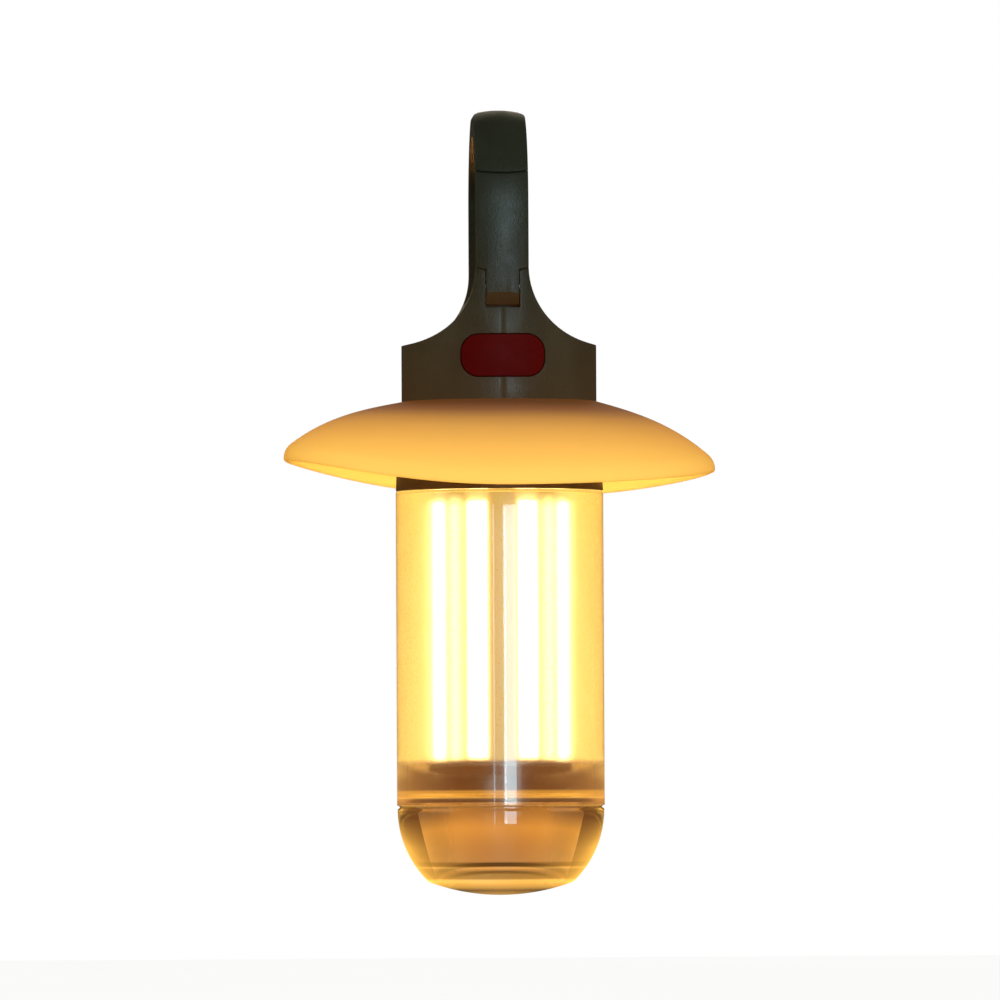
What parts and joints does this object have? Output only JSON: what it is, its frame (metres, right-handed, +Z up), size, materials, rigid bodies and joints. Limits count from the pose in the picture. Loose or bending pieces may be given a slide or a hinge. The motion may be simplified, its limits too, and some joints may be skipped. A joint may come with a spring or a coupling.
{
  "type": "camping lantern",
  "caption": "Hanging camping lantern with a carabiner handle, a drooping translucent shade, and a frosted tube of warm LED strips over a clear rounded cap.",
  "frame": {"origin": "hang point: middle of the underside of the handle's arch, where a hook or branch carries the lantern", "axes": "+Z up along the lantern's axis; -Y towards the gate and the switch button; +Y towards the charging port; +X to the viewer's right from the front"},
  "size_m": [0.0832, 0.0832, 0.1513],
  "materials": {
    "body_plastic": "satin moulded, dark olive khaki",
    "button_red": "soft-touch, dark red",
    "shade_silicone": "translucent matt silicone, lit warm from below",
    "ring_plastic": "satin moulded, dark olive brown",
    "tube_clear": "frosted on the inside, clear outside",
    "cap_clear": "clear and polished",
    "core_white": "white heat-conducting",
    "led_board": "white solder mask",
    "phosphor": "lit phosphor gel",
    "screw_steel": "blackened",
    "pin_steel": "ground",
    "spring_steel": "bright wire",
    "port_metal": "satin nickel",
    "cover_rubber": "matt, dark olive",
    "seal_rubber": "matt black",
    "black_plastic": "matt black",
    "circuit_board": "green solder mask",
    "cell_wrap": "shrink wrap",
    "contact_brass": "plated",
    "lead_red": "insulated",
    "lead_black": "insulated",
    "lead_white": "insulated"
  },
  "bodies": {
    "lantern": {"left_shell": "body_plastic", "right_shell": "body_plastic", "shell_screws": "screw_steel", "gate_hinge_pin": "pin_steel", "gate_spring": "spring_steel", "switch_body": "black_plastic", "switch_board": "circuit_board", "main_board": "circuit_board", "board_components": "black_plastic", "usb_port": "port_metal", "usb_tongue": "black_plastic", "usb_cover_anchor": "cover_rubber", "shade": "shade_silicone", "neck_ring": "ring_plastic", "upper_o_ring": "seal_rubber", "diffuser_tube": "tube_clear", "cap_o_ring": "seal_rubber", "bottom_cap": "cap_clear", "light_core": "core_white", "core_end_plate": "core_white", "core_screws": "screw_steel", "led_ring_board": "led_board", "battery_cell": "cell_wrap", "cell_spring": "spring_steel", "cell_top_contact": "contact_brass", "contact_carrier": "black_plastic", "positive_lead": "lead_red", "negative_lead": "lead_black", "led_leads": "lead_white", "led_board_1": "led_board", "led_phosphor_1": "phosphor", "led_board_2": "led_board", "led_phosphor_2": "phosphor", "led_board_3": "led_board", "led_phosphor_3": "phosphor", "led_board_4": "led_board", "led_phosphor_4": "phosphor", "led_board_5": "led_board", "led_phosphor_5": "phosphor", "led_board_6": "led_board", "led_phosphor_6": "phosphor", "led_board_7": "led_board", "led_phosphor_7": "phosphor", "led_board_8": "led_board", "led_phosphor_8": "phosphor"},
    "gate": {"gate": "body_plastic"},
    "button": {"button": "button_red", "switch_stem": "black_plastic"},
    "usb_cover": {"usb_cover": "cover_rubber"}
  },
  "joints": [
    {"name": "gate_hinge", "type": "hinge", "parent": "lantern", "child": "gate", "pos_m": [0, -0.0152, -0.0298], "axis": [-1, 0, 0], "range_deg": [0, 35], "stiffness_Nm_per_rad": 0.02, "springref_deg": -8.59, "deforming": ["gate_spring"]},
    {"name": "button_press", "type": "slide", "parent": "lantern", "child": "button", "axis": [0, 1, 0], "range_m": [0, 0.0007], "stiffness_N_per_m": 1500, "springref_m": -0.0005},
    {"name": "usb_cover_hinge", "type": "hinge", "parent": "lantern", "child": "usb_cover", "pos_m": [-0.006, 0.0178, -0.04497], "axis": [0, 0, 1], "range_deg": [0, 100]}
  ]
}
